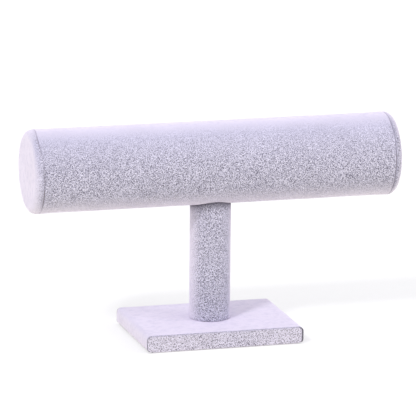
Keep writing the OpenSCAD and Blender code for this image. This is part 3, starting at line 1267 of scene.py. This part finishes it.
@dataclass
class Base(CoveredPart):
    """The flat base: a fibreboard under a velvet wrap, a velvet strip on each long edge and felt below."""

    half_width: float = 51.5 * MM
    half_depth: float = 38.5 * MM
    wrap_half_depth: float = 37.65 * MM
    bottom: float = 0.45 * MM
    top: float = BASE_TOP
    side_round: float = 3 * MM
    hem: float = 12 * MM
    seam_gap: float = CLOTH_GAP
    hole_r: float = SCREW_HOLE_R
    # The strips end short of the wrap's fold, and their pile short of that at the right end. Painted shade, in
    # the dark ground colour, fills that bare end and fades out over a reach at both ends
    strip_short: float = 0.15 * MM
    bare_shaded_right: float = 0.8 * MM
    end_shade_reach: float = 0.4 * MM
    # How much more painted shade, in the dark ground colour, goes along a strip's long edges than at other cut
    # edges
    strip_edge_shade: float = 1.5
    # How much narrower each end of a strip's hem is cut for each length past the fold, up to the hem's width
    hem_slope: float = 2.5
    face_rows: int = 40
    # The wrap's pile leans towards the back, and that of the strips upwards
    wrap_lean: float = 0.3
    strip_lean: float = 0.3
    # Share of painted sheen, the pale colour of the pile's sides, over the strips
    strip_sheen: float = 0.85
    # The strips get less painted sheen near the middle: how much less, how far to the right and over what reach
    strip_sheen_dip: float = 0.4
    strip_sheen_dip_at: float = 8 * MM
    strip_sheen_dip_reach: float = 18 * MM
    felt: Cloth = FELT_CLOTH
    felt_inset: float = 3.5 * MM
    felt_round: float = 3 * MM

    def wrap(self) -> None:
        """Builds the sheet over the top and both sides, with its hems under the board."""
        hem_end = self.half_width - self.hem
        profile = Profile(
            corners=(
                (hem_end, self.bottom),
                (self.half_width, self.bottom),
                (self.half_width, self.top),
                (-self.half_width, self.top),
                (-self.half_width, self.bottom),
                (-hem_end, self.bottom),
            ),
            radii=(self.side_round,) * 4,
        )
        around = self.cloth.rows(profile.length())
        points, inward = profile.sample(around)
        across = self.cloth.rows(2 * self.wrap_half_depth)
        to_edge = np.minimum(from_both_ends(around)[:, None], from_both_ends(across)[None, :])
        y = np.broadcast_to((across - self.wrap_half_depth)[None, :], to_edge.shape)

        def at(height: np.ndarray) -> np.ndarray:
            """Turns heights over the cloth's back into points.

            Args:
                height: The height at each row and column.

            Returns:
                The points, in the last axis of the array.
            """
            sunk = self.cloth.thickness - height
            x = points[:, :1] + inward[:, :1] * sunk
            return np.stack([x, y, points[:, 1:] + inward[:, 1:] * sunk], -1)

        height = self.cloth.height(to_edge)
        above_table = np.clip((points[:, 1:] - self.bottom) / self.side_round, 0, 1)
        outer = at(height + self.cloth.unevenness(at(height)) * above_table)
        back = at(np.zeros_like(height))
        lean = (0.0, self.wrap_lean, 0.0)
        # Painted shade, in the dark ground colour, along the wrap's cut edges
        sheet = SheetMesh(outer, back, self.cloth.shade(to_edge), lean, hole_r=self.hole_r)
        sheet.hole_here = lambda z: z > (self.bottom + self.top) / 2
        piece = sheet.build("base_velvet")
        self.place(piece, "base_wrap", (profile.length(), 2 * self.wrap_half_depth), "base_board")

    def strip(self, side: int, name: str, node: str) -> None:
        """Builds the strip over one long edge of the base, with its hem under the board.

        Args:
            side: -1 for the front, 1 for the back.
            name: The new piece's name.
            node: The CAD node that it stands for.
        """
        top = self.top - self.seam_gap
        corner_r = self.side_round - self.seam_gap
        profile = Profile(
            corners=(
                (-self.half_depth, top),
                (-self.half_depth, self.bottom),
                (self.hem - self.half_depth, self.bottom),
            ),
            radii=(self.cloth.edge_roll,),
        )
        length = profile.length()
        face_height = top - self.bottom
        down = self.cloth.rows(length)
        fine = np.linspace(0, face_height, self.face_rows)
        down = np.concatenate([down[:self.cloth.edge_rows], fine, down[down > face_height]])
        down = np.unique(down.round(SAME_PLACE_DIGITS))
        points, inward = profile.sample(down)
        to_row_end = np.minimum(down, np.clip(face_height - down, 0, None))
        into_corner = corner_r - np.clip(to_row_end, 0, corner_r)
        inset = np.where(to_row_end < corner_r, corner_r - np.sqrt(corner_r ** 2 - into_corner ** 2), 0)
        past_fold = np.clip(down - face_height, 0, None)
        inset = inset + np.minimum(past_fold * self.hem_slope, self.hem - corner_r)
        half_strip = self.half_width - self.strip_short
        spread = self.cloth.rows(2 * half_strip) / half_strip - 1
        right = (half_strip - inset)[:, None]
        x = spread[None, :] * right
        from_ends = np.clip(np.minimum(x + right, right - x - self.bare_shaded_right), 0, None)
        from_long_edges = np.minimum(down, length - down)[:, None]
        to_edge = np.minimum(from_long_edges, from_ends)
        # Painted shade at the strip's ends, in the dark ground colour, where the gap to the wrap's fold lies
        bare = (1 - np.clip(from_ends / self.end_shade_reach, 0, 1)) ** 2
        # Painted shade along the long edges as well
        shade = np.maximum(bare, self.strip_edge_shade * self.cloth.shade(from_long_edges))

        def at(height: np.ndarray) -> np.ndarray:
            """Turns heights over the cloth's back into points.

            Args:
                height: The height at each row and column.

            Returns:
                The points, in the last axis of the array.
            """
            sunk = self.cloth.thickness - height
            y = points[:, :1] + inward[:, :1] * sunk
            return np.stack([x, -side * y, points[:, 1:] + inward[:, 1:] * sunk], -1)

        height = self.cloth.height(to_edge)
        # Painted sheen over the strip, less of it near the middle
        from_sheen_dip = (x + side * self.strip_sheen_dip_at) / self.strip_sheen_dip_reach
        painted_sheen = self.strip_sheen * (1 - self.strip_sheen_dip * np.exp(-from_sheen_dip ** 2))
        lean = (0.0, 0.0, self.strip_lean)
        piece = SheetMesh(at(height), at(np.zeros_like(height)), shade, lean, painted_sheen).build(name)
        self.place(piece, node, (2 * self.half_width, length), "base_board")

    def underlay(self) -> None:
        """Builds the thin felt that hides the hems and stands on the table."""
        half_w = self.half_width - self.felt_inset
        half_d = self.half_depth - self.felt_inset
        across = self.felt.rows(2 * half_d)
        end = from_both_ends(across)
        inside = np.clip(self.felt_round - end, 0, self.felt_round)
        inset = self.felt_round - np.sqrt(self.felt_round ** 2 - inside ** 2)
        spread = self.felt.rows(2 * half_w) / half_w - 1
        x = spread[:, None] * (half_w - inset)[None, :]
        y = np.broadcast_to((across - half_d)[None, :], x.shape)
        to_edge = np.minimum(end[None, :], (half_w - inset)[None, :] - np.abs(x))
        outer = np.stack([x, y, self.felt.thickness - self.felt.height(to_edge)], -1)
        back = np.stack([x, y, np.full_like(x, self.felt.thickness)], -1)
        piece = SheetMesh(outer, back, np.zeros_like(x)).build("underlay_felt")
        self.place(piece, "base_underlay", (2 * half_w, 2 * half_d), "base_board", Slot.FELT, Hold.LAID)

    def build(self) -> None:
        """Builds the base's covers and dresses the board and its screw."""
        self.wrap()
        self.strip(-1, "front_strip_velvet", "base_front_strip")
        self.strip(1, "back_strip_velvet", "base_back_strip")
        self.underlay()
        self.keep("base_board", Slot.FIBREBOARD)
        self.keep("base_screw", Slot.ZINC_STEEL)


def direction(azimuth_deg: float, elevation_deg: float) -> Vector:
    """Gives a direction as seen from the object.

    Args:
        azimuth_deg: The turn from the front towards the right.
        elevation_deg: The height above the horizon.

    Returns:
        The direction, with a length of 1.
    """
    azimuth, elevation = math.radians(azimuth_deg), math.radians(elevation_deg)
    level = math.cos(elevation)
    return Vector((math.sin(azimuth) * level, -math.cos(azimuth) * level, math.sin(elevation)))


@dataclass(frozen=True)
class Camera:
    """The camera at the photograph's viewing angle, low and a little to the left, from far away."""

    target: Triple = (0.0, 0.0, 0.075)
    azimuth_deg: float = -16.08
    elevation_deg: float = 13.26
    distance: float = 2.713
    yaw_deg: float = 16.047
    pitch_deg: float = -13.102
    roll_deg: float = 0.484
    lens_mm: float = 368.8
    sensor_mm: float = 36.0
    clip_end: float = 50.0

    def build(self) -> None:
        """Makes the camera and gives it to the scene."""
        data = bpy.data.cameras.new("camera")
        data.lens = self.lens_mm
        data.sensor_width = self.sensor_mm
        data.clip_end = self.clip_end
        camera = bpy.data.objects.new("camera", data)
        bpy.context.scene.collection.objects.link(camera)
        yaw, pitch, roll = (math.radians(turn) for turn in (self.yaw_deg, self.pitch_deg, self.roll_deg))
        level = math.cos(pitch)
        forward = Vector((math.sin(yaw) * level, math.cos(yaw) * level, math.sin(pitch)))
        right = Vector((math.cos(yaw), -math.sin(yaw), 0))
        up = right.cross(forward)
        turned_right = right * math.cos(roll) + up * math.sin(roll)
        turned_up = up * math.cos(roll) - right * math.sin(roll)
        axes = Matrix((turned_right, turned_up, -forward)).transposed().to_4x4()
        place = Vector(self.target) + direction(self.azimuth_deg, self.elevation_deg) * self.distance
        camera.matrix_world = Matrix.Translation(place) @ axes
        bpy.context.scene.camera = camera


@dataclass(frozen=True)
class Lamp:
    """A far lamp with a soft edge.

    Level is the brightness that it gives a white surface facing it. Spread is its apparent width, which
    softens its shadows.
    """

    name: str
    level: float
    azimuth_deg: float
    elevation_deg: float
    spread_deg: float

    def build(self) -> None:
        """Makes the lamp."""
        data = bpy.data.lights.new(self.name, "SUN")
        data.energy = self.level * math.pi
        data.angle = math.radians(self.spread_deg)
        lamp = bpy.data.objects.new(self.name, data)
        bpy.context.scene.collection.objects.link(lamp)
        towards = direction(self.azimuth_deg, self.elevation_deg)
        lamp.rotation_mode = "QUATERNION"
        lamp.rotation_quaternion = towards.to_track_quat("Z", "Y")


def seen_directly(tree: NodeTree) -> Socket:
    """Tells what the camera sees, also in metal or through glass, from light on surfaces.

    Args:
        tree: The node tree of a material or of the room.

    Returns:
        1 for what the camera sees, and 0 for light on surfaces.
    """
    camera = add_node(tree, "ShaderNodeLightPath", output="Is Camera Ray")
    glossy = add_node(tree, "ShaderNodeLightPath", output="Is Glossy Ray")
    through = add_node(tree, "ShaderNodeLightPath", output="Is Transmission Ray")
    either = add_node(tree, "ShaderNodeMath", {0: camera, 1: glossy}, operation="ADD")
    return add_node(tree, "ShaderNodeMath", {0: either, 1: through}, operation="ADD", use_clamp=True)


@dataclass(frozen=True)
class PaleFloor(Finish):
    """Pale matt paint, which looks white where it is lit, keeps the object's shadow and is clear from below.

    Its warm colour is what it throws back at the object.
    """

    name: ClassVar[str] = "pale_floor"
    paint: str = "#f5f3e5"
    # What the camera sees: a share of the floor's own light and shadow, lifted so that its lit part is white
    share: float = 0.55
    lift: float = 0.45

    def shader(self, tree: NodeTree) -> Socket:
        """Builds the floor's shader.

        Args:
            tree: The material's node tree.

        Returns:
            The shader's output.
        """
        paint = add_node(tree, "ShaderNodeBsdfDiffuse", {"Color": linear(self.paint)})
        shadow = add_node(tree, "ShaderNodeBsdfDiffuse", {"Color": (self.share, self.share, self.share, 1)})
        glow = add_node(tree, "ShaderNodeEmission", {"Color": WHITE, "Strength": self.lift})
        lifted = add_node(tree, "ShaderNodeAddShader", {0: shadow, 1: glow})
        seen = add_node(tree, "ShaderNodeMixShader", {0: seen_directly(tree), 1: paint, 2: lifted})
        below = add_node(tree, "ShaderNodeNewGeometry", output="Backfacing")
        clear = add_node(tree, "ShaderNodeBsdfTransparent")
        return add_node(tree, "ShaderNodeMixShader", {0: below, 1: seen, 2: clear})


@dataclass(frozen=True)
class Studio:
    """Plain studio light: a main lamp at the left, two weaker ones at the right, a pale room and floor."""

    lamps: tuple[Lamp, ...] = (
        Lamp("main_lamp", level=0.355, azimuth_deg=-48.0, elevation_deg=42.0, spread_deg=8.0),
        Lamp("fill_lamp", level=0.1, azimuth_deg=48.0, elevation_deg=6.0, spread_deg=40.0),
        Lamp("side_lamp", level=0.1, azimuth_deg=62.0, elevation_deg=33.0, spread_deg=14.0),
    )
    room_above: str = "#fcfbff"
    room_below: str = "#fafaff"
    room_level_above: float = 0.995
    room_level_side: float = 0.5
    # Height of a direction, as its sine, from which on the room's light is that from above
    room_above_from: float = 0.8
    floor_half_width: float = 4.0
    # A hair above the underside of the felt, so that the felt is lit from below
    floor_height: float = 0.05 * MM

    def room(self) -> None:
        """Makes the room: soft light, stronger and a little less blue from above, and a white background."""
        world = bpy.data.worlds.new("room")
        world.use_nodes = True
        tree = world.node_tree
        tree.nodes.clear()
        towards = add_node(tree, "ShaderNodeTexCoord", output="Generated")
        height = add_node(tree, "ShaderNodeSeparateXYZ", {0: towards}, "Z")
        upward = add_node(tree, "ShaderNodeMapRange", {"Value": height, "From Max": self.room_above_from})
        colours = {SHARE: upward, FIRST: linear(self.room_below), SECOND: linear(self.room_above)}
        levels = {"Value": upward, "To Min": self.room_level_side, "To Max": self.room_level_above}
        light = add_node(tree, "ShaderNodeBackground", {
            "Color": add_node(tree, "ShaderNodeMix", colours, RESULT, data_type="RGBA"),
            "Strength": add_node(tree, "ShaderNodeMapRange", levels),
        })
        white = add_node(tree, "ShaderNodeBackground", {"Color": WHITE})
        seen = add_node(tree, "ShaderNodeMixShader", {0: seen_directly(tree), 1: light, 2: white})
        add_node(tree, "ShaderNodeOutputWorld", {"Surface": seen})
        bpy.context.scene.world = world

    def floor(self) -> None:
        """Makes the floor."""
        w, z = self.floor_half_width, self.floor_height
        mesh = bpy.data.meshes.new("floor")
        mesh.from_pydata([(-w, -w, z), (w, -w, z), (w, w, z), (-w, w, z)], [], [(0, 1, 2, 3)])
        mesh.materials.append(PaleFloor().material())
        floor = bpy.data.objects.new("floor", mesh)
        bpy.context.scene.collection.objects.link(floor)

    def build(self) -> None:
        """Makes the lamps, the room and the floor."""
        for lamp in self.lamps:
            lamp.build()
        self.room()
        self.floor()
        bpy.context.scene.view_settings.view_transform = "Standard"


def main() -> None:
    """Builds the scene: camera, studio, finishes and the stand's three sub-assemblies."""
    logging.basicConfig(level=logging.INFO, format="%(message)s")
    Camera().build()
    Studio().build()
    finishes = Finishes.make()
    for part in (Bar(finishes), Post(finishes), Base(finishes)):
        part.build()
        log.info("%s: built", type(part).__name__)


if __name__ == "__main__":
    main()
